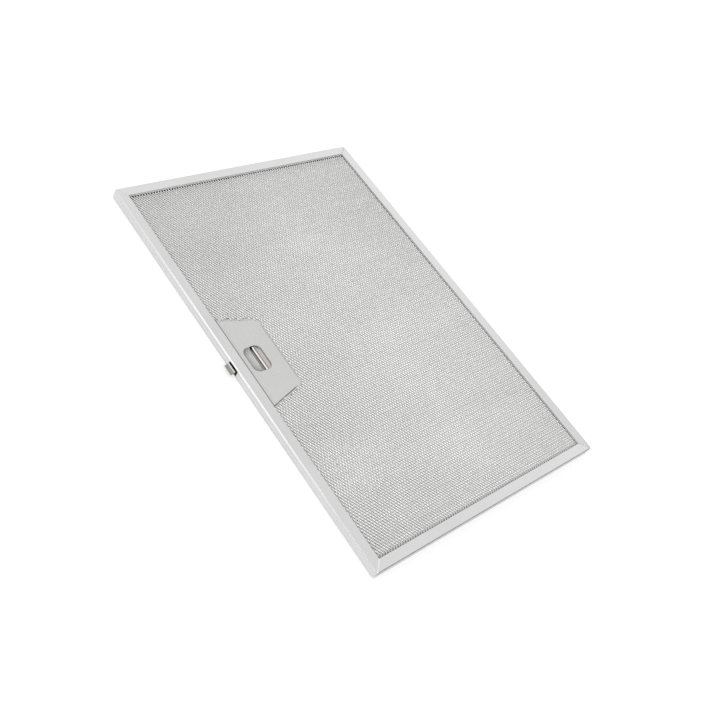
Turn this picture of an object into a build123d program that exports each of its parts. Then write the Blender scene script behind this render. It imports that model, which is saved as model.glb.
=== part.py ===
from build123d import *
import os

# Cooker hood grease filter: folded aluminium frame, stack of mesh sheets and a
# sprung latch in the middle of one long side.
# Millimetres. Origin at the centre of the frame on its back plane, +X across the
# short side away from the latch, +Y along the long side, +Z out of the front.

# frame
width = 260.0
length = 386.0
depth = 9.0
sheet = 0.6
corner_r = 2.2            # upright corners of the wall, outside
crease_r = 1.1            # fold between wall and flange, outside
flange = 9.1              # wall's outer face to the flange's inner edge
lip_bottom = 6.8          # lower edge of the front flange's turned-down lip
lip_r = 0.75              # fold between flange and lip, outside
mitre_gap = 0.06
mitre_w = 0.85            # the short sides' front flanges dip beside the mitre: width
mitre_dip = 0.24          # and depth of the dip
slot_w = 11.5             # slot for the tongue in the wall
slot_y = -0.85
slot_lo = 1.5
slot_hi = 7.3

# mesh sheets
mesh_x = 2 * 128.2
mesh_y = 2 * 191.2
mesh_t = 0.96
mesh_gap = 0.03
stack_z = 0.65            # underside of the rear sheet
front_z = 5.62            # underside of the front sheet
front_t = 0.88

# latch, all distances along X counted from the wall's outer face
wall_x = -width / 2
cover_z = 4.82
cover_t = 0.75
cover_x0 = 2.0
cover_x1 = 47.3
cover_slope = 0.308       # fall of the half height for each millimetre along X
cover_half = 45.05        # half height at cover_ref
cover_ref = 12.0
cover_r = 7.0
notch_x = 8.6             # notch in the cover over the tongue, under the flange
notch_w = 12.4
cover_show = 1.5          # how far the front sheet laps over the cover's rim
window_x = 24.1
window_w = 17.4
window_h = 24.2
window_r = 5.8
dish_depth = 2.6          # finger dish, pressed down from the cover's top
dish_t = 0.55
dish_taper = 38.0
dish_rim = 0.6            # rounding where the plate turns down into the dish
dish_r = 5.0              # sweep between the dish's floor and its sloping wall, inside
dish_x1 = 24.1            # cut edge of the dish, facing the slider's finger wall

tray_t = 0.5
tray_z = 0.62
tray_top = 4.8
tray_x0 = 4.2
tray_x1 = 46.6
tray_half = 15.6          # inside
tray_flange = 5.4
tongue_way = 11.6         # opening in the tray's front wall

slider_t = 0.7
slider_half = 15.2
slider_floor = 1.77       # middle of the sheet
slider_top = 3.65         # middle of the sheet
finger_x = 26.55          # middle of the finger wall
finger_half = 11.6
curl_top = 4.15           # middle of the sheet, at the top of the rolled edge
curl_w = 1.45
tongue_w = 9.6
tongue_y = -0.2
tongue_z = 5.0            # middle of the sheet, where the tongue passes the wall
tongue_tip = 2.85         # middle of the sheet, at the tongue's end
tongue_out = 3.87         # middle of the sheet, wall's outer face to the tongue's end

spring_r = 1.125          # middle of the wire
wire_r = 0.175
spring_y = 9.0
spring_z = 2.6
spring_x0 = 37.8
spring_x1 = 45.9
spring_turns = 7
pip_r = 0.8

cover_top = cover_z + cover_t
end_wall_x = spring_x0 - wire_r - 0.025 - slider_t / 2

os.makedirs("parts", exist_ok=True)


def cover_corners(x0, x1, grow):
    """Corners of the cover's outline, grown or shrunk at its free edges."""
    h0 = cover_half + grow - cover_slope * (x0 - cover_ref)
    h1 = cover_half + grow - cover_slope * (x1 + grow - cover_ref)
    return [
        (wall_x + x0, -h0),
        (wall_x + x1 + grow, -h1),
        (wall_x + x1 + grow, h1),
        (wall_x + x0, h0),
    ]


def opening_edges(edges, z, inset):
    """Straight edges at height z round the flange's opening, inset from the wall."""
    return [
        e
        for e in edges
        if e.geom_type == GeomType.LINE
        and abs(e.center().Z - z) < 1e-4
        and (
            abs(abs(e.center().X) - (width / 2 - inset)) < 1e-4
            or abs(abs(e.center().Y) - (length / 2 - inset)) < 1e-4
        )
    ]


# the channel's inside: wall to wall below the lip, and between wall and lip up to
# the front flange
with BuildPart() as channel:
    with BuildSketch(Plane.XY.offset(sheet)):
        RectangleRounded(width - 2 * sheet, length - 2 * sheet, corner_r - sheet)
    extrude(amount=depth - 2 * sheet)
    fillet(channel.faces().sort_by(Axis.Z)[-1].edges(), crease_r - sheet)
    fillet(channel.faces().sort_by(Axis.Z)[0].edges(), crease_r - sheet)
    with BuildSketch(Plane.XY.offset(lip_bottom)):
        Rectangle(width - 2 * flange + 2 * sheet, length - 2 * flange + 2 * sheet)
    extrude(amount=depth, mode=Mode.SUBTRACT)
    fillet(opening_edges(channel.edges(), depth - sheet, flange - sheet), lip_r - sheet)

# frame: one strip, folded to a channel and round the corners
with BuildPart() as frame:
    with BuildSketch():
        RectangleRounded(width, length, corner_r)
    extrude(amount=depth)
    fillet(frame.faces().sort_by(Axis.Z)[-1].edges(), crease_r)
    fillet(frame.faces().sort_by(Axis.Z)[0].edges(), crease_r)
    add(channel.part, mode=Mode.SUBTRACT)
    # openings in the back and front flanges
    with BuildSketch(Plane.XY.offset(-1)):
        Rectangle(width - 2 * flange, length - 2 * flange)
    extrude(amount=depth + 2, mode=Mode.SUBTRACT)
    # the fold between the front flange and its turned-down lip
    fillet(opening_edges(frame.edges(), depth, flange), lip_r)
    # mitre lines where the flanges meet, front and back; at one corner the
    # strip's two ends meet and the line runs on through the wall
    for sx, sy in ((1, 1), (-1, 1), (-1, -1), (1, -1)):
        ends = sx > 0 and sy > 0
        reach = 16.0 if ends else 12.3
        at = Plane(
            origin=(
                sx * (width / 2 - flange - 1.0),
                sy * (length / 2 - flange - 1.0),
                0,
            ),
            x_dir=(sx, sy, 0),
            z_dir=(0, 0, 1),
        )
        for lo, hi in (((-1, depth + 1),) if ends else ((-1, 0.7), (6.0, depth + 1))):
            with BuildSketch(at.offset(lo)):
                Rectangle(reach, mitre_gap, align=(Align.MIN, Align.CENTER))
            extrude(amount=hi - lo, mode=Mode.SUBTRACT)
        # on the front, the short side's flange is pressed down along its cut edge
        with BuildSketch(
            Plane(
                origin=at.origin + Vector(0, 0, depth),
                x_dir=(-sy, sx, 0),
                z_dir=(sx, sy, 0),
            )
        ):
            short = sx * sy
            Polygon(
                (-short * mitre_gap / 2, 1),
                (-short * mitre_gap / 2, -mitre_dip),
                (short * mitre_gap / 2, -mitre_dip),
                (short * mitre_w, 0),
                (short * mitre_w, 1),
                align=None,
            )
        extrude(amount=reach, mode=Mode.SUBTRACT)
    # slot for the latch's tongue
    with BuildSketch(Plane.YZ.offset(wall_x - 1)):
        with Locations((slot_y, (slot_lo + slot_hi) / 2)):
            RectangleRounded(slot_w, slot_hi - slot_lo, 0.6)
    extrude(amount=2.2, mode=Mode.SUBTRACT)
frame.part.label = "frame"
export_step(frame.part, "parts/frame.step")

# mesh sheets: rear sheet and two inner layers are cut round the tray, the two
# layers above them round the cover
names = ("rear_mesh", "filter_layer_1", "filter_layer_2", "filter_layer_3", "filter_layer_4")
for i, name in enumerate(names):
    with BuildPart() as layer:
        with BuildSketch(Plane.XY.offset(stack_z + i * (mesh_t + mesh_gap))):
            Rectangle(mesh_x, mesh_y)
            if i < 3:
                with Locations((wall_x, 0)):
                    Rectangle(
                        tray_x1 + 0.5,
                        2 * (tray_half + tray_t + 0.5),
                        align=(Align.MIN, Align.CENTER),
                        mode=Mode.SUBTRACT,
                    )
            else:
                Polygon(
                    *cover_corners(0.0, cover_x1, 0.5),
                    align=None,
                    mode=Mode.SUBTRACT,
                )
        extrude(amount=mesh_t)
    layer.part.label = name
    export_step(layer.part, f"parts/{name}.step")

# front sheet, cut out over the cover and lapping its rim
with BuildPart() as front_mesh:
    with BuildSketch(Plane.XY.offset(front_z)):
        Rectangle(mesh_x, mesh_y)
        with BuildSketch(mode=Mode.PRIVATE) as cut:
            Polygon(*cover_corners(0.0, cover_x1, -cover_show), align=None)
            fillet(cut.vertices().group_by(Axis.X)[-1], cover_r - 0.5)
        add(cut.sketch, mode=Mode.SUBTRACT)
    extrude(amount=front_t)
front_mesh.part.label = "front_mesh"
export_step(front_mesh.part, "parts/front_mesh.step")

# latch cover: flat plate with one window; the half of the window beside the wall
# is pressed down into a finger dish, the other half is cut right through
with BuildPart() as latch_cover:
    with BuildSketch(Plane.XY.offset(cover_z)) as outline:
        Polygon(*cover_corners(cover_x0, cover_x1, 0.0), align=None)
        fillet(outline.vertices().group_by(Axis.X)[-1], cover_r)
    extrude(amount=cover_t)
    with BuildSketch(Plane.XY.offset(cover_top)):
        with Locations((wall_x + window_x, 0)):
            RectangleRounded(window_w + 1.7, window_h + 1.7, window_r + 0.85)
    extrude(amount=-(dish_depth + dish_t), taper=dish_taper)
    fillet(latch_cover.faces().sort_by(Axis.Z)[0].edges(), dish_r + dish_t)
    with BuildSketch(Plane.XY.offset(cover_top)):
        with Locations((wall_x + window_x, 0)):
            RectangleRounded(window_w, window_h, window_r)
    extrude(amount=-dish_depth, taper=dish_taper, mode=Mode.SUBTRACT)
    floor = [
        f
        for f in latch_cover.faces().filter_by(Axis.Z)
        if abs(f.center().Z - (cover_top - dish_depth)) < 1e-3
    ]
    fillet(floor[0].edges(), dish_r)
    top = latch_cover.faces().filter_by(Axis.Z).sort_by(Axis.Z)[-1]
    fillet(top.inner_wires()[0].edges(), dish_rim)
    # the open half: what is under the plate, then the plate itself
    with BuildSketch(Plane.XY.offset(0.5)):
        with Locations((wall_x + dish_x1, 0)):
            Rectangle(30, 40, align=(Align.MIN, Align.CENTER))
    extrude(amount=cover_z - 0.5, mode=Mode.SUBTRACT)
    with BuildSketch(Plane.XY.offset(cover_z - 0.1)):
        with Locations((wall_x + window_x, 0)):
            RectangleRounded(window_w, window_h, window_r)
        with Locations((wall_x + dish_x1, 0)):
            Rectangle(30, 40, align=(Align.MAX, Align.CENTER), mode=Mode.SUBTRACT)
    extrude(amount=cover_t + 0.2, mode=Mode.SUBTRACT)
    # room for the raised tongue
    with BuildSketch(Plane.XY.offset(cover_z - 0.1)):
        with Locations((wall_x, tongue_y)):
            Rectangle(notch_x, notch_w, align=(Align.MIN, Align.CENTER))
    extrude(amount=cover_t + 0.2, mode=Mode.SUBTRACT)
latch_cover.part.label = "latch_cover"
export_step(latch_cover.part, "parts/latch_cover.step")

# latch tray: pressed sheet with side flanges under the cover
with BuildPart() as latch_tray:
    tray_long = tray_x1 - tray_x0
    with BuildSketch(Plane.XY.offset(tray_z)):
        with Locations((wall_x + tray_x0, 0)):
            Rectangle(tray_long, 2 * (tray_half + tray_t), align=(Align.MIN, Align.CENTER))
    extrude(amount=tray_top - tray_z)
    with BuildSketch(Plane.XY.offset(tray_z + tray_t)):
        with Locations((wall_x + tray_x0 + tray_t, 0)):
            Rectangle(tray_long - 2 * tray_t, 2 * tray_half, align=(Align.MIN, Align.CENTER))
    extrude(amount=tray_top, mode=Mode.SUBTRACT)
    with BuildSketch(Plane.XY.offset(tray_top - tray_t)):
        with Locations((wall_x + tray_x0, 0)):
            Rectangle(
                tray_long,
                2 * (tray_half + tray_t + tray_flange),
                align=(Align.MIN, Align.CENTER),
            )
            Rectangle(
                tray_long,
                2 * tray_half + tray_t,
                align=(Align.MIN, Align.CENTER),
                mode=Mode.SUBTRACT,
            )
    extrude(amount=tray_t)
    # way for the tongue through the front wall
    with BuildSketch(Plane.XY.offset(tray_z + tray_t)):
        with Locations((wall_x + tray_x0 - 1, 0)):
            Rectangle(2, tongue_way, align=(Align.MIN, Align.CENTER))
    extrude(amount=tray_top, mode=Mode.SUBTRACT)
    # guide pips for the springs
    with BuildSketch(Plane.YZ.offset(wall_x + tray_x1 - tray_t - 2.0)):
        with Locations((spring_y, spring_z), (-spring_y, spring_z)):
            Circle(pip_r)
    extrude(amount=2.0 + tray_t / 2)
latch_tray.part.label = "latch_tray"
export_step(latch_tray.part, "parts/latch_tray.step")

# latch slider: one bent strip with floor, finger wall, rolled edge, top, end wall
# and tongue; the floor runs under the cover's dish
with BuildPart() as latch_slider:
    with BuildSketch(Plane.XZ) as strip:
        with BuildLine():
            FilletPolyline(
                (wall_x + tray_x0 + tray_t + 0.3, slider_floor),
                (wall_x + finger_x, slider_floor),
                (wall_x + finger_x, curl_top),
                (wall_x + finger_x + curl_w, curl_top),
                (wall_x + finger_x + curl_w + 0.8, slider_top),
                (wall_x + end_wall_x, slider_top),
                (wall_x + end_wall_x, slider_floor - 0.2),
                radius=[0.9, 0.68, 0.62, 0.62, 0.55],
            )
        trace(line_width=slider_t)
    extrude(amount=slider_half, both=True)
    # the finger wall and the rolled edge are narrower than the rest
    with BuildSketch():
        with Locations(
            (wall_x + finger_x - 0.95, finger_half),
            (wall_x + finger_x - 0.95, -finger_half - 8),
        ):
            Rectangle(curl_w + 2.1, 8, align=(Align.MIN, Align.MIN))
    extrude(amount=depth, mode=Mode.SUBTRACT)
    with BuildSketch(Plane.XZ.offset(-tongue_y)) as tongue:
        with BuildLine():
            FilletPolyline(
                (wall_x + 9.0, slider_floor),
                (wall_x + 6.4, slider_floor),
                (wall_x + 2.6, tongue_z),
                (wall_x - 0.5, tongue_z),
                (wall_x - tongue_out, tongue_tip),
                radius=0.6,
            )
        trace(line_width=slider_t)
    extrude(amount=tongue_w / 2, both=True)
    # relief notches beside the tongue, where it leaves the floor
    with BuildSketch(Plane.XY.offset(0.5)):
        with Locations(
            (wall_x + 4, tongue_y + tongue_w / 2),
            (wall_x + 4, tongue_y - tongue_w / 2 - 1.2),
        ):
            Rectangle(3.2, 1.2, align=(Align.MIN, Align.MIN))
    extrude(amount=3, mode=Mode.SUBTRACT)
    # guide pips for the springs
    with BuildSketch(Plane.YZ.offset(wall_x + end_wall_x)):
        with Locations((spring_y, spring_z), (-spring_y, spring_z)):
            Circle(pip_r)
    extrude(amount=1.5 + slider_t / 2)
latch_slider.part.label = "latch_slider"
export_step(latch_slider.part, "parts/latch_slider.step")

# springs: plain compression coils along X
for name, side in (("latch_spring_1", 1), ("latch_spring_2", -1)):
    with BuildPart() as coil:
        with BuildLine() as path:
            Helix(
                pitch=(spring_x1 - spring_x0) / spring_turns,
                height=spring_x1 - spring_x0,
                radius=spring_r,
                center=(wall_x + spring_x0, side * spring_y, spring_z),
                direction=(1, 0, 0),
            )
        with BuildSketch(Plane(origin=path.line @ 0, z_dir=path.line % 0)):
            Circle(wire_r)
        sweep(path=path.line, is_frenet=True)
    coil.part.label = name
    export_step(coil.part, f"parts/{name}.step")
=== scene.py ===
import math

import bpy
import numpy as np
from mathutils import Matrix


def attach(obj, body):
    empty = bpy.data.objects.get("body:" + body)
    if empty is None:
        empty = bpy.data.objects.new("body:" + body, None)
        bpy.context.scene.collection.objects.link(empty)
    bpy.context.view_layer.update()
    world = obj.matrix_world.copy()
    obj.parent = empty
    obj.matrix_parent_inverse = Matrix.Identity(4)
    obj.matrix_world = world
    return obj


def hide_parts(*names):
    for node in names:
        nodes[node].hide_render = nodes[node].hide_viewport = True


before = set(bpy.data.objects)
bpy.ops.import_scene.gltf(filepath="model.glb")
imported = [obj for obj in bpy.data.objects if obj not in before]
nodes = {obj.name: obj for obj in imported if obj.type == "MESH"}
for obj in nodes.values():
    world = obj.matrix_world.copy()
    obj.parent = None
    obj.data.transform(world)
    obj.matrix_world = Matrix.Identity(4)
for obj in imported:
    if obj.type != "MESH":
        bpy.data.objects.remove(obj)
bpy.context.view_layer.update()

MM = 0.001

# ---------------------------------------------------------------- materials


def new_material(name, metallic, roughness):
    mat = bpy.data.materials.new(name)
    mat.use_nodes = True
    nt = mat.node_tree
    p = nt.nodes["Principled BSDF"]
    p.inputs["Metallic"].default_value = metallic
    p.inputs["Roughness"].default_value = roughness
    return mat, nt, p


def node(nt, kind, **values):
    n = nt.nodes.new(kind)
    for k, v in values.items():
        if k in n.inputs:
            n.inputs[k].default_value = v
        else:
            setattr(n, k, v)
    return n


def ramp(nt, source, stops):
    n = nt.nodes.new("ShaderNodeValToRGB")
    e = n.color_ramp.elements
    while len(e) < len(stops):
        e.new(0.5)
    for el, (at, c) in zip(e, stops):
        el.position = at
        el.color = (c[0], c[1], c[2], 1) if hasattr(c, "__len__") else (c, c, c, 1)
    nt.links.new(source, n.inputs["Fac"])
    return n


def spread(nt, source, lo, hi, a=0.3, b=0.7):
    """A value from lo to hi as source goes from a to b."""
    n = nt.nodes.new("ShaderNodeMapRange")
    for k, v in (("From Min", a), ("From Max", b), ("To Min", lo), ("To Max", hi)):
        n.inputs[k].default_value = v
    nt.links.new(source, n.inputs["Value"])
    return n


def coords(nt, scale=(1, 1, 1), rotation=(0, 0, 0)):
    tc = nt.nodes.new("ShaderNodeTexCoord")
    mp = nt.nodes.new("ShaderNodeMapping")
    mp.inputs["Scale"].default_value = scale
    mp.inputs["Rotation"].default_value = rotation
    nt.links.new(tc.outputs["Object"], mp.inputs["Vector"])
    return mp.outputs["Vector"]


def noise(nt, vector, scale, detail=3.0, rough=0.55):
    n = node(nt, "ShaderNodeTexNoise", Scale=scale, Detail=detail, Roughness=rough)
    nt.links.new(vector, n.inputs["Vector"])
    return n.outputs["Fac"]


def bump(nt, p, height, strength, distance):
    b = node(nt, "ShaderNodeBump", Strength=strength, Distance=distance)
    nt.links.new(height, b.inputs["Height"])
    nt.links.new(b.outputs["Normal"], p.inputs["Normal"])


def position(nt):
    tc = nt.nodes.new("ShaderNodeTexCoord")
    xyz = nt.nodes.new("ShaderNodeSeparateXYZ")
    nt.links.new(tc.outputs["Object"], xyz.inputs[0])
    return xyz.outputs


def shaded(nt, colour, factors):
    """A colour multiplied by each factor in turn."""
    for f in factors:
        n = node(nt, "ShaderNodeMix", data_type="RGBA", blend_type="MULTIPLY")
        n.inputs[0].default_value = 1.0
        nt.links.new(colour, n.inputs[6])
        nt.links.new(f, n.inputs[7])
        colour = n.outputs[2]
    return colour


def painted_shade_factors(nt, painted_shade):
    """Painted shade: factors that darken by position: direction, start, end, darkness at the start, and depth range."""
    xyz = position(nt)
    out = []
    for direction, a, b, low, depth in painted_shade:
        tc = nt.nodes.new("ShaderNodeTexCoord")
        dot = node(nt, "ShaderNodeVectorMath", operation="DOT_PRODUCT")
        nt.links.new(tc.outputs["Object"], dot.inputs[0])
        dot.inputs[1].default_value = direction
        painted_light = spread(nt, dot.outputs["Value"], 1.0 - low, 0.0, a, b).outputs["Result"]
        if depth:
            inside = spread(nt, xyz["Z"], 1.0, 0.0, depth[0], depth[1]).outputs["Result"]
            both = node(nt, "ShaderNodeMath", operation="MULTIPLY")
            nt.links.new(painted_light, both.inputs[0])
            nt.links.new(inside, both.inputs[1])
            painted_light = both.outputs[0]
        left = node(nt, "ShaderNodeMath", operation="SUBTRACT")
        left.inputs[0].default_value = 1.0
        nt.links.new(painted_light, left.inputs[1])
        out.append(left.outputs[0])
    return out


def dark_lines(nt, painted_lines):
    """Painted shadow lines: factors that darken along straight lines: direction, place, half width, darkness and where
    it fades out.
    """
    out = []
    for direction, at, half, low, (axis, a, b) in painted_lines:
        tc = nt.nodes.new("ShaderNodeTexCoord")
        dot = node(nt, "ShaderNodeVectorMath", operation="DOT_PRODUCT")
        nt.links.new(tc.outputs["Object"], dot.inputs[0])
        dot.inputs[1].default_value = direction
        away = node(nt, "ShaderNodeMath", operation="SUBTRACT")
        nt.links.new(dot.outputs["Value"], away.inputs[0])
        away.inputs[1].default_value = at
        size = node(nt, "ShaderNodeMath", operation="ABSOLUTE")
        nt.links.new(away.outputs[0], size.inputs[0])
        along = node(nt, "ShaderNodeMath", operation="ABSOLUTE")
        nt.links.new(position(nt)[axis], along.inputs[0])
        both = node(nt, "ShaderNodeMath", operation="MULTIPLY")
        nt.links.new(spread(nt, size.outputs[0], 1.0 - low, 0.0, 0.4 * half, half).outputs["Result"], both.inputs[0])
        nt.links.new(spread(nt, along.outputs[0], 1.0, 0.0, a, b).outputs["Result"], both.inputs[1])
        left = node(nt, "ShaderNodeMath", operation="SUBTRACT")
        left.inputs[0].default_value = 1.0
        nt.links.new(both.outputs[0], left.inputs[1])
        out.append(left.outputs[0])
    return out


def sheet_metal(name, dark, light, rough, metallic=1.0, grain=None, mottle=18.0, marks=0.25, painted_shade=(), painted_lines=()):
    """Rolled sheet: drawn grain along one direction, slow mottling, and a slightly uneven gloss."""
    mat, nt, p = new_material(name, metallic, sum(rough) / 2)
    along = coords(nt, grain or (1, 1, 1))
    fine = noise(nt, along, 900.0, 4.0, 0.6)
    slow = noise(nt, coords(nt), mottle, 3.0)
    add = node(nt, "ShaderNodeMath", operation="MULTIPLY_ADD")
    nt.links.new(fine, add.inputs[0])
    add.inputs[1].default_value = 0.5
    half = node(nt, "ShaderNodeMath", operation="MULTIPLY")
    nt.links.new(slow, half.inputs[0])
    half.inputs[1].default_value = 0.5
    nt.links.new(half.outputs[0], add.inputs[2])
    c = ramp(nt, add.outputs[0], [(0.32, dark), (0.68, light)])
    # the colour is multiplied by any painted shade and painted shadow lines asked for
    nt.links.new(shaded(nt, c.outputs["Color"], painted_shade_factors(nt, painted_shade) + dark_lines(nt, painted_lines)), p.inputs["Base Color"])
    r = spread(nt, add.outputs[0], rough[0], rough[1], 0.32, 0.68)
    nt.links.new(r.outputs["Result"], p.inputs["Roughness"])
    bump(nt, p, fine, marks, 0.00004)
    return mat


def strip_metal(name, dark, light, rough):
    """The frame's strip: grain that follows each side and turns at the mitres."""
    mat, nt, p = new_material(name, 1.0, sum(rough) / 2)
    tc = nt.nodes.new("ShaderNodeTexCoord")
    xyz = nt.nodes.new("ShaderNodeSeparateXYZ")
    nt.links.new(tc.outputs["Object"], xyz.inputs[0])

    def math(op, a, b=None):
        n = node(nt, "ShaderNodeMath", operation=op)
        for i, v in enumerate((a, b)):
            if v is None:
                continue
            if isinstance(v, float):
                n.inputs[i].default_value = v
            else:
                nt.links.new(v, n.inputs[i])
        return n.outputs[0]

    ax = math("ABSOLUTE", xyz.outputs["X"])
    ay = math("ABSOLUTE", xyz.outputs["Y"])
    # which side a point is on: nearer the long walls or the short walls
    long_side = math("GREATER_THAN", math("SUBTRACT", ax, ay), -0.063)
    fine_long = noise(nt, coords(nt, (1.0, 0.02, 1.0)), 1500.0, 4.0, 0.65)
    fine_short = noise(nt, coords(nt, (0.02, 1.0, 1.0)), 1500.0, 4.0, 0.65)
    mix = node(nt, "ShaderNodeMix", data_type="FLOAT")
    nt.links.new(long_side, mix.inputs[0])
    nt.links.new(fine_short, mix.inputs[2])
    nt.links.new(fine_long, mix.inputs[3])
    fine = mix.outputs[0]
    slow = noise(nt, coords(nt), 22.0, 3.0)
    both = math("ADD", math("MULTIPLY", fine, 0.5), math("MULTIPLY", slow, 0.5))
    c = ramp(nt, both, [(0.34, dark), (0.66, light)])
    # painted shade and reflection: the short walls are darker, most of all towards the front
    on_wall = spread(nt, ay, 0.0, 1.0, 0.1921, 0.1927).outputs["Result"]
    height = spread(nt, xyz.outputs["Z"], 0.05, 0.36, 0.0015, 0.006).outputs["Result"]
    painted_wall_shade = math("SUBTRACT", 1.0, math("MULTIPLY", on_wall, height))
    # along the long walls: painted bands of light and shade, and a painted highlight on the outer fold
    tall = spread(nt, xyz.outputs["Z"], 0.0, 1.0, 0.0, 0.01).outputs["Result"]
    painted_lines = ramp(nt, tall, [(z / 10, f / 1.4) for z, f in (
        (0.0, 1.0), (0.9, 0.90), (1.7, 0.90), (3.0, 1.06), (4.2, 1.05), (6.0, 0.96),
        (7.4, 0.97), (8.0, 1.36), (8.8, 1.36), (8.97, 1.0),
    )])
    on_long = math("MULTIPLY", spread(nt, ax, 0.0, 1.0, 0.1285, 0.1290).outputs["Result"],
                   spread(nt, ay, 1.0, 0.1, 0.045, 0.150).outputs["Result"])
    painted_wall_bands = math("MULTIPLY", on_long, math("SUBTRACT", math("MULTIPLY", painted_lines.outputs["Color"], 1.4), 1.0))
    # painted light: the turned-down lip's inner face is brightened, and it is made less of a mirror
    painted_lip_light = math("MULTIPLY", math("LESS_THAN", ax, 0.125), math("LESS_THAN", ay, 0.188))
    painted_lip_light = math("MULTIPLY", painted_lip_light, spread(nt, xyz.outputs["Z"], 0.33, 0.0, 0.0080, 0.0085).outputs["Result"])
    p_metal = spread(nt, painted_lip_light, 1.0, 0.35, 0.0, 0.33).outputs["Result"]
    nt.links.new(p_metal, p.inputs["Metallic"])
    # painted highlight along the near mitres
    off = math("ABSOLUTE", math("ADD", math("SUBTRACT", ax, ay), 0.063))
    mitre_highlight = math("MULTIPLY", spread(nt, off, 0.18, 0.0, 0.0003, 0.0007).outputs["Result"],
               math("MULTIPLY", math("LESS_THAN", xyz.outputs["Y"], 0.0), math("GREATER_THAN", xyz.outputs["Z"], 0.0080)))
    # the near short flange is a little brighter away from the latch's side
    near = math("MULTIPLY", math("LESS_THAN", xyz.outputs["Y"], -0.184), math("GREATER_THAN", xyz.outputs["Z"], 0.0085))
    near = math("MULTIPLY", math("MULTIPLY", near, math("SUBTRACT", 1.0, long_side)),
                spread(nt, xyz.outputs["X"], 0.0, 0.10, -0.06, 0.11).outputs["Result"])
    west = math("MULTIPLY", math("MULTIPLY", math("LESS_THAN", xyz.outputs["X"], -0.1205), long_side), -0.035)
    gain = math("ADD", math("ADD", math("ADD", math("ADD", math("ADD", painted_wall_bands, painted_lip_light), mitre_highlight), near), west), 1.0)
    nt.links.new(shaded(nt, c.outputs["Color"], [painted_wall_shade, gain]), p.inputs["Base Color"])
    r = spread(nt, both, rough[0], rough[1], 0.34, 0.66)
    nt.links.new(r.outputs["Result"], p.inputs["Roughness"])
    bump(nt, p, fine, 0.10, 0.00003)
    return mat


def foil_metal(name, dark, light, rough, painted_shade=(), rows=()):
    """Expanded foil: bright metal with small differences from strand to strand and from row to row."""
    mat, nt, p = new_material(name, 1.0, sum(rough) / 2)
    cell = noise(nt, coords(nt), 420.0, 2.0, 0.7)
    slow = noise(nt, coords(nt), 14.0, 2.0)
    add = node(nt, "ShaderNodeMath", operation="ADD")
    nt.links.new(cell, add.inputs[0])
    nt.links.new(slow, add.inputs[1])
    c = ramp(nt, spread(nt, add.outputs[0], 0.0, 1.0, 0.65, 1.35).outputs["Result"], [(0.0, dark), (1.0, light)])
    # painted shade by position
    factors = painted_shade_factors(nt, painted_shade)
    for pitch, amount in rows:
        turn = node(nt, "ShaderNodeMath", operation="MULTIPLY")
        nt.links.new(position(nt)["Y"], turn.inputs[0])
        turn.inputs[1].default_value = 2 * math.pi / pitch
        wave = node(nt, "ShaderNodeMath", operation="COSINE")
        nt.links.new(turn.outputs[0], wave.inputs[0])
        factors.append(spread(nt, wave.outputs[0], 1.0 - amount, 1.0 + amount, -1.0, 1.0).outputs["Result"])
    nt.links.new(shaded(nt, c.outputs["Color"], factors), p.inputs["Base Color"])
    r = spread(nt, cell, rough[0], rough[1])
    nt.links.new(r.outputs["Result"], p.inputs["Roughness"])
    bump(nt, p, noise(nt, coords(nt), 2600.0, 2.0), 0.12, 0.00004)
    return mat


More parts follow.
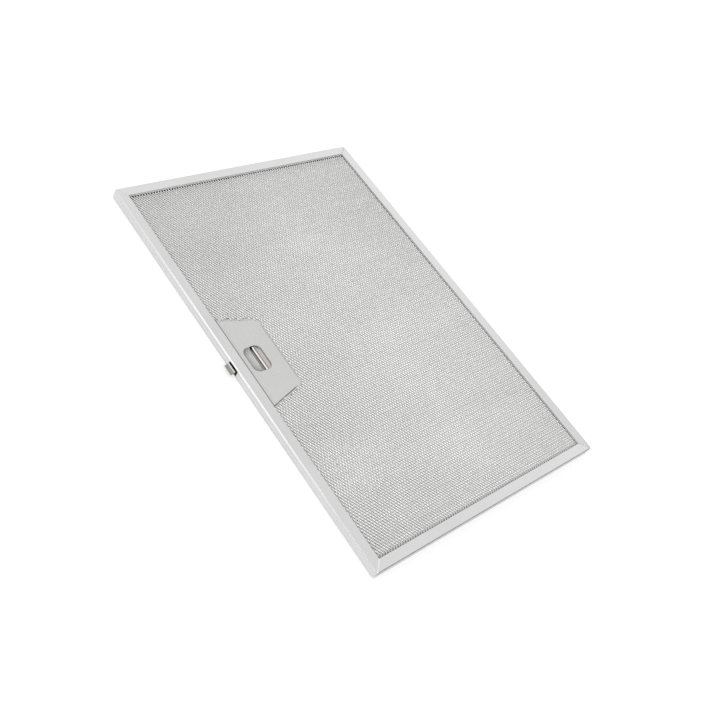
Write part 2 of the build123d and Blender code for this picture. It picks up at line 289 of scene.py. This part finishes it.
def latch_steel(name, tab, tongue, rough):
    """Slider steel: drawn grain across the strip, and a darker tongue outside the wall."""
    mat, nt, p = new_material(name, 1.0, sum(rough) / 2)
    tc = nt.nodes.new("ShaderNodeTexCoord")
    xyz = nt.nodes.new("ShaderNodeSeparateXYZ")
    nt.links.new(tc.outputs["Object"], xyz.inputs[0])
    fine = noise(nt, coords(nt, (1.0, 0.04, 1.0)), 1300.0, 4.0, 0.6)
    bright = ramp(nt, fine, [(0.3, [0.93 * c for c in tab]), (0.7, tab)])
    tongue_ramp = ramp(nt, fine, [(0.3, [0.82 * c for c in tongue]), (0.7, tongue)])
    inside = spread(nt, xyz.outputs["X"], 0.0, 1.0, -0.1317, -0.1311)
    mix = node(nt, "ShaderNodeMix", data_type="RGBA")
    nt.links.new(inside.outputs["Result"], mix.inputs[0])
    nt.links.new(tongue_ramp.outputs["Color"], mix.inputs[6])
    nt.links.new(bright.outputs["Color"], mix.inputs[7])
    # painted shade on the finger wall and the floor before it
    finger_wall_shade = painted_shade_factors(nt, [((1, 0, 0), -0.1031, -0.1027, 0.5, (0.0036, 0.0043))])
    # not on the tongue
    outside = node(nt, "ShaderNodeMath", operation="MAXIMUM")
    nt.links.new(finger_wall_shade[0], outside.inputs[0])
    nt.links.new(spread(nt, xyz.outputs["X"], 1.0, 0.0, -0.1250, -0.1240).outputs["Result"], outside.inputs[1])
    # painted highlight on the rolled edge, painted shade in the hollow behind it, and the tab darker
    across = spread(nt, xyz.outputs["X"], 0.0, 1.0, -0.1040, -0.0960).outputs["Result"]
    edge_light_and_shade = ramp(nt, across, [(at, v / 1.35) for at, v in (
        (0.0, 1.0), (0.07, 1.25), (0.15, 1.25), (0.20, 0.60), (0.30, 0.60), (0.375, 0.80), (0.74, 0.80), (0.79, 0.78),
    )])
    scaled = node(nt, "ShaderNodeMath", operation="MULTIPLY")
    nt.links.new(edge_light_and_shade.outputs["Color"], scaled.inputs[0])
    scaled.inputs[1].default_value = 1.35
    # painted shade: black just inside the wall
    slot_shade = node(nt, "ShaderNodeMath", operation="MAXIMUM")
    nt.links.new(spread(nt, xyz.outputs["X"], 1.0, 0.2, -0.1301, -0.1298).outputs["Result"], slot_shade.inputs[0])
    nt.links.new(spread(nt, xyz.outputs["X"], 0.2, 1.0, -0.1245, -0.1235).outputs["Result"], slot_shade.inputs[1])
    painted_light = [outside.outputs[0], scaled.outputs[0], slot_shade.outputs[0]]
    # greasy and less of a mirror where it runs under the window's right and upper rim
    rim = node(nt, "ShaderNodeMath", operation="MAXIMUM")
    nt.links.new(spread(nt, xyz.outputs["X"], 0.0, 1.0, -0.0992, -0.0984).outputs["Result"], rim.inputs[0])
    upper = node(nt, "ShaderNodeMath", operation="MULTIPLY")
    nt.links.new(spread(nt, xyz.outputs["Y"], 0.0, 1.0, 0.0100, 0.0112).outputs["Result"], upper.inputs[0])
    nt.links.new(spread(nt, xyz.outputs["X"], 0.0, 1.0, -0.1028, -0.1022).outputs["Result"], upper.inputs[1])
    nt.links.new(upper.outputs[0], rim.inputs[1])
    nt.links.new(spread(nt, rim.outputs[0], 1.0, 0.15, 0.0, 1.0).outputs["Result"], p.inputs["Metallic"])
    nt.links.new(shaded(nt, mix.outputs[2], painted_light), p.inputs["Base Color"])
    r = spread(nt, fine, rough[0], rough[1])
    nt.links.new(r.outputs["Result"], p.inputs["Roughness"])
    bump(nt, p, fine, 0.12, 0.00003)
    return mat


frame_metal = strip_metal("frame_aluminium", (0.68, 0.68, 0.683), (0.735, 0.735, 0.735), (0.26, 0.34))
# mesh: painted shade beside the left flange, and darker towards the right
mesh_metal = foil_metal("mesh_aluminium", (0.562, 0.562, 0.555), (0.606, 0.606, 0.599), (0.35, 0.43), painted_shade=(
    ((1, 0, 0), -0.1187, -0.1173, 0.88, None),
    ((-1, 0, 0), -0.121, -0.020, 0.90, None),
), rows=((0.002317, 0.06),))
inner_metal = foil_metal("inner_mesh_aluminium", (0.72, 0.722, 0.72), (0.82, 0.822, 0.82), (0.32, 0.44))
# cover: painted shade along the seam beside the flange, in the dish, and on the dish's upper walls
cover_shade = (
    ((1, 0, 0), -0.1183, -0.1178, 0.43, None),
    ((0, 0, 1), 0.0047, 0.0055, 0.90, None),
    ((1, 0, 0), -0.1143, -0.1075, 0.66, (0.0050, 0.0055)),
    ((0, 1, 0), 0.0121, 0.0060, 0.70, (0.0050, 0.0055)),
    ((0, -1, 0), 0.0121, 0.0030, 0.62, (0.0050, 0.0055)),
)
# painted shadow beside the mesh: along the lower edge most, less along the right and the upper edge
cover_shadow_lines = (
    ((-0.308, 1, 0), -0.0071, 0.0007, 0.24, ("X", 0.0925, 0.0880)),
    ((1, 0, 0), -0.0843, 0.0005, 0.68, ("Y", 0.0260, 0.0290)),
    ((0.308, 1, 0), 0.0071, 0.0005, 0.78, ("X", 0.0925, 0.0880)),
)
cover_metal = sheet_metal("cover_aluminium", (0.57, 0.574, 0.56), (0.63, 0.634, 0.62), (0.50, 0.58), metallic=0.35, grain=(1.0, 0.04, 1.0), marks=0.12, painted_shade=cover_shade, painted_lines=cover_shadow_lines)
slider_metal = latch_steel("slider_steel", (0.72, 0.68, 0.66), (0.335, 0.325, 0.305), (0.26, 0.36))
tray_metal = sheet_metal("tray_steel", (0.40, 0.40, 0.39), (0.50, 0.50, 0.49), (0.34, 0.46), grain=(0.05, 1.0, 1.0))
spring_metal = sheet_metal("spring_steel", (0.36, 0.36, 0.36), (0.48, 0.48, 0.48), (0.25, 0.35))

for name, mat in (
    ("frame", frame_metal),
    ("latch_cover", cover_metal),
    ("latch_slider", slider_metal),
    ("latch_tray", tray_metal),
    ("latch_spring_1", spring_metal),
    ("latch_spring_2", spring_metal),
):
    data = nodes[name].data
    data.materials.clear()
    data.materials.append(mat)

# ---------------------------------------------------------------- expanded mesh

SWD = 2.604      # short way of the diamond, along X
LWD = 4.634      # long way of the diamond, along Y
WALL = -130.0    # outer face of the frame's wall on the latch's side


def cover_half(x, grow):
    """Half height of the latch cover's outline at x, measured from the wall."""
    return 45.05 + grow - 0.308 * (x - 12.0)


def in_cover(x, y, grow):
    """Points inside the cover's outline, grown or shrunk, with its corners rounded."""
    px = x - WALL
    right = 47.3 + grow
    r = 7.0
    edge = np.minimum(right - px, (cover_half(px, grow) - np.abs(y)) / math.hypot(1, 0.308))
    # round the two free corners
    cx = right - r
    cy = cover_half(cx, grow) - r * math.hypot(1, 0.308)
    corner = (px > cx) & (np.abs(y) > cy)
    round_edge = r - np.hypot(px - cx, np.abs(y) - cy)
    return np.where(corner, np.minimum(edge, round_edge), edge) > 0


def in_tray(x, y, grow):
    return (x - WALL < 47.1 + grow) & (np.abs(y) < 16.6 + grow)


def expanded(z, half_x, half_y, hole, strand, tilt, thick, bond, phase, seed, turn=0.0):
    """Expanded sheet as vertices and faces, in millimetres.

    Bonds stand on a centred lattice. Each is a small plate tilted about Y, and a
    strand of half a bond's width runs from its raised half to the lowered half of
    each bond in the next row.
    """
    rng = np.random.default_rng(seed)
    ni = int(half_x * 2 / (SWD / 2)) + 6
    nj = int(half_y * 2 / (LWD / 2)) + 6
    i, j = np.meshgrid(np.arange(ni), np.arange(nj), indexing="ij")
    ok = (i + j) % 2 == 0
    x = (i - ni / 2) * SWD / 2 + phase[0] * SWD
    y = (j - nj / 2) * LWD / 2 + phase[1] * LWD
    c, s = math.cos(turn), math.sin(turn)
    x, y = c * x - s * y, s * x + c * y
    ok &= (np.abs(x) < half_x) & (np.abs(y) < half_y) & ~hole(x, y)
    # slow waves in the sheet and small differences from bond to bond
    wave = (
        np.sin(x * 0.031 + 1.3 + seed) * np.cos(y * 0.023 + 0.4)
        + 0.6 * np.sin(x * 0.074 - y * 0.051 + seed)
        + 0.4 * np.sin(y * 0.117 + 2.0)
    )
    zz = z + 0.02 * wave + rng.normal(0, 0.006, x.shape)
    # every other row along X stands a little steeper
    row = math.radians(2.4) * (1 - 2 * (np.arange(nj) % 2)) + rng.normal(0, math.radians(0.7), nj)
    lean = tilt + math.radians(0.08) * wave + row[None, :] + rng.normal(0, math.radians(0.7), x.shape)
    roll = rng.normal(0, math.radians(0.7), x.shape)
    x = x + rng.normal(0, 0.010, x.shape)
    y = y + rng.normal(0, 0.014, x.shape)
    # corner k of a bond: across -1, 0, 1 and along -1, 1
    u = np.stack([np.cos(lean), roll, np.sin(lean)], -1)
    n = np.stack([-np.sin(lean), np.zeros_like(lean), np.cos(lean)], -1)
    v = np.stack([np.zeros_like(lean), np.ones_like(lean), roll], -1)
    centre = np.stack([x, y, zz], -1)
    across = (-1, 0, 1)
    along = (-1, 1) if bond > 0 else (0,)
    sides = (0.5, -0.5) if thick > 0 else (0.0,)
    count = np.cumsum(ok.ravel()).reshape(ok.shape) - 1
    total = int(ok.sum())
    per = len(across) * len(along) * len(sides)
    verts = np.zeros((total, len(sides), len(across), len(along), 3))
    for a, side in enumerate(sides):
        for b, q in enumerate(across):
            for d, w in enumerate(along):
                at = centre + u * (q * strand) + v * (w * bond / 2) + n * (side * thick)
                verts[:, a, b, d] = at[ok]
    verts = verts.reshape(-1, 3)

    def index(k, a, q, w):
        """Vertex of bond number k on side a, at q across and w along."""
        return k * per + (a * len(across) + q + 1) * len(along) + (0 if len(along) == 1 else (w + 1) // 2)

    quads = []
    k = count[ok]

    def add(*ring, flip=False):
        f = np.stack(ring, -1)
        quads.append(f[:, ::-1] if flip else f)

    for a in range(len(sides)):
        if bond > 0:
            for q in (-1, 0):
                add(index(k, a, q, -1), index(k, a, q + 1, -1), index(k, a, q + 1, 1), index(k, a, q, 1), flip=a == 1)
    if bond > 0 and thick > 0:
        for q, f in ((-1, False), (1, True)):
            add(index(k, 0, q, -1), index(k, 0, q, 1), index(k, 1, q, 1), index(k, 1, q, -1), flip=f)
    for dj in (1, -1):
        here = ok[:-1, :-1] & ok[1:, 1:] if dj == 1 else ok[:-1, 1:] & ok[1:, :-1]
        A = (count[:-1, :-1] if dj == 1 else count[:-1, 1:])[here]
        B = (count[1:, 1:] if dj == 1 else count[1:, :-1])[here]
        for a in range(len(sides)):
            add(
                index(A, a, 0, dj), index(A, a, 1, dj), index(B, a, 0, -dj), index(B, a, -1, -dj),
                flip=(dj == -1) != (a == 1),
            )
        if thick > 0:
            add(index(A, 0, 0, dj), index(B, 0, -1, -dj), index(B, 1, -1, -dj), index(A, 1, 0, dj), flip=dj == -1)
            add(index(A, 0, 1, dj), index(B, 0, 0, -dj), index(B, 1, 0, -dj), index(A, 1, 1, dj), flip=dj == 1)
    faces = np.concatenate(quads)
    return verts, faces


def make_piece(name, verts, faces, mat, replaced):
    used, faces = np.unique(faces, return_inverse=True)
    faces = faces.reshape(-1, 4)
    verts = verts[used] * MM
    me = bpy.data.meshes.new(name)
    me.vertices.add(len(verts))
    me.vertices.foreach_set("co", verts.astype(np.float32).ravel())
    me.loops.add(faces.size)
    me.loops.foreach_set("vertex_index", faces.astype(np.int32).ravel())
    me.polygons.add(len(faces))
    me.polygons.foreach_set("loop_start", np.arange(0, faces.size, 4, dtype=np.int32))
    me.update(calc_edges=True)
    me.validate()
    me.shade_flat()
    layer = me.uv_layers.new(name="OFBake")
    low, span = verts[:, :2].min(0), np.ptp(verts[:, :2], axis=0)
    uv = (verts[faces.ravel(), :2] - low) / span * 0.98 + 0.01
    layer.uv.foreach_set("vector", uv.astype(np.float32).ravel())
    me.materials.append(mat)
    ob = bpy.data.objects.new(name, me)
    bpy.context.scene.collection.objects.link(ob)
    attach(ob, "filter")
    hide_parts(*replaced)
    return ob


def sheet_pieces(name, parts, mat, node_name, **how):
    """An expanded sheet, cut across the long side into as many pieces as asked."""
    verts, faces = expanded(**how)
    if parts == 1:
        make_piece(name, verts, faces, mat, [node_name])
        return
    y = verts[faces[:, 0], 1]
    edges = np.quantile(y, np.linspace(0, 1, parts + 1))
    for n in range(parts):
        lo = -1e9 if n == 0 else edges[n]
        hi = 1e9 if n == parts - 1 else edges[n + 1]
        pick = (y >= lo) & (y < hi)
        make_piece(f"{name}_{'abcd'[n]}", verts, faces[pick], mat, [node_name])


lean = math.radians(35)
sheet_pieces(
    "front_sheet", 3, mesh_metal, "front_mesh",
    z=6.09, half_x=124.0, half_y=187.0, hole=lambda x, y: in_cover(x, y, -1.2),
    strand=0.80, tilt=lean, thick=0.22, bond=0.90, phase=(0.0, 0.0), seed=3,
)
for number, (z, cut, sign, ph, turn) in enumerate(
    (
        (2.12, in_tray, 1, (0.31, 0.12), 0.012),
        (3.11, in_tray, -1, (0.12, 0.37), -0.018),
        (4.10, lambda x, y, g: in_cover(x, y, 0.5 + g), 1, (0.44, 0.21), 0.02),
        (5.09, lambda x, y, g: in_cover(x, y, 0.5 + g), -1, (0.2, 0.3), -0.012),
    ),
    1,
):
    sheet_pieces(
        f"inner_sheet_{number}", 1, inner_metal, f"filter_layer_{number}",
        z=z, half_x=124.0, half_y=187.0, hole=lambda x, y, cut=cut: cut(x, y, 0.8 if cut is in_tray else 0.2),
        strand=0.78, tilt=sign * lean, thick=0.0, bond=0.0, phase=ph, seed=10 + number, turn=turn,
    )
sheet_pieces(
    "rear_sheet", 2, mesh_metal, "rear_mesh",
    z=1.13, half_x=124.0, half_y=187.0, hole=lambda x, y: in_tray(x, y, 0.8),
    strand=0.78, tilt=lean, thick=0.20, bond=0.0, phase=(0.25, 0.25), seed=5,
)

# ---------------------------------------------------------------- floor, light, camera

floor_mesh = bpy.data.meshes.new("floor")
h = 6.0
floor_mesh.from_pydata([(-h, -h, -0.0002), (h, -h, -0.0002), (h, h, -0.0002), (-h, h, -0.0002)], [], [(0, 1, 2, 3)])
floor = bpy.data.objects.new("floor", floor_mesh)
bpy.context.scene.collection.objects.link(floor)
floor_mat, nt, p = new_material("floor_white", 0.0, 0.9)
p.inputs["Base Color"].default_value = (0.52, 0.52, 0.52, 1)
p.inputs["Emission Color"].default_value = (1, 1, 1, 1)
p.inputs["Emission Strength"].default_value = 0.54
p.inputs["Specular IOR Level"].default_value = 0.0
floor_mesh.materials.append(floor_mat)

world = bpy.data.worlds.new("studio")
bpy.context.scene.world = world
world.use_nodes = True
wt = world.node_tree
background = wt.nodes["Background"]
background.inputs["Strength"].default_value = 0.86
tc = wt.nodes.new("ShaderNodeTexCoord")


def towards(direction, stops):
    """Grey level by the angle's cosine between a ray and a direction."""
    d = np.array(direction, float)
    d /= np.linalg.norm(d)
    dot = wt.nodes.new("ShaderNodeVectorMath")
    dot.operation = "DOT_PRODUCT"
    dot.inputs[1].default_value = tuple(d)
    wt.links.new(tc.outputs["Generated"], dot.inputs[0])
    unit = wt.nodes.new("ShaderNodeMapRange")
    for k, v in (("From Min", -1.0), ("From Max", 1.0), ("To Min", 0.0), ("To Max", 1.0)):
        unit.inputs[k].default_value = v
    wt.links.new(dot.outputs["Value"], unit.inputs["Value"])
    r = ramp(wt, unit.outputs["Result"], [((c + 1) / 2, g) for c, g in stops])
    r.color_ramp.interpolation = "EASE"
    return r.outputs["Color"]


def plus(a, b):
    n = wt.nodes.new("ShaderNodeMix")
    n.data_type = "RGBA"
    n.blend_type = "ADD"
    n.inputs[0].default_value = 1.0
    wt.links.new(a, n.inputs[6])
    wt.links.new(b, n.inputs[7])
    return n.outputs[2]


# dim near the horizon and pale overhead, a little lighter towards some sides
room = towards((0, 0, 1), [(0.05, 0.16), (0.30, 0.30), (0.62, 1.0), (1.0, 1.08)])
side = towards((0.75, -0.05, 0.66), [(0.70, 0.0), (0.97, 0.12)])
soft = towards((-0.82, 0.33, 0.47), [(0.90, 0.0), (0.98, 1.15)])
far = towards((0.80, 0.55, 0.25), [(0.86, 0.0), (0.97, 0.55)])
back = towards((-0.08, 0.90, 0.42), [(0.70, 0.0), (0.96, 0.60)])
sky = room
for part in (side, soft, far, back):
    sky = plus(sky, part)
wt.links.new(sky, background.inputs["Color"])


def area(name, at, aim, size, power):
    data = bpy.data.lights.new(name, "AREA")
    data.shape = "RECTANGLE"
    data.size, data.size_y = size
    data.energy = power
    ob = bpy.data.objects.new(name, data)
    bpy.context.scene.collection.objects.link(ob)
    z = np.array(at, float) - np.array(aim, float)
    z /= np.linalg.norm(z)
    x = np.cross((0, 0, 1.0), z)
    x /= np.linalg.norm(x)
    y = np.cross(z, x)
    m = np.eye(4)
    m[:3, 0], m[:3, 1], m[:3, 2], m[:3, 3] = x, y, z, at
    ob.matrix_world = Matrix(m.tolist())
    return ob


# radiance = power / (pi * area)
area("key", (-1.51, -2.69, 2.86), (0, 0, 0), (2.6, 2.6), 1.9 * math.pi * 2.6 * 2.6)

cam_data = bpy.data.cameras.new("camera")
cam_data.sensor_width = 36.0
cam_data.lens = 47.384
cam_data.clip_start = 0.01
cam = bpy.data.objects.new("camera", cam_data)
bpy.context.scene.collection.objects.link(cam)
cam.matrix_world = Matrix(
    (
        (0.737009, 0.275858, -0.617025, -0.499284),
        (-0.562865, 0.755895, -0.334373, -0.280638),
        (0.374167, 0.593738, 0.712373, 0.555183),
        (0, 0, 0, 1),
    )
)
bpy.context.scene.camera = cam
bpy.context.scene.view_settings.view_transform = "Standard"
bpy.context.scene.view_settings.look = "None"
bpy.context.scene.cycles.filter_width = 1.5
bpy.context.scene.cycles.use_denoising = False
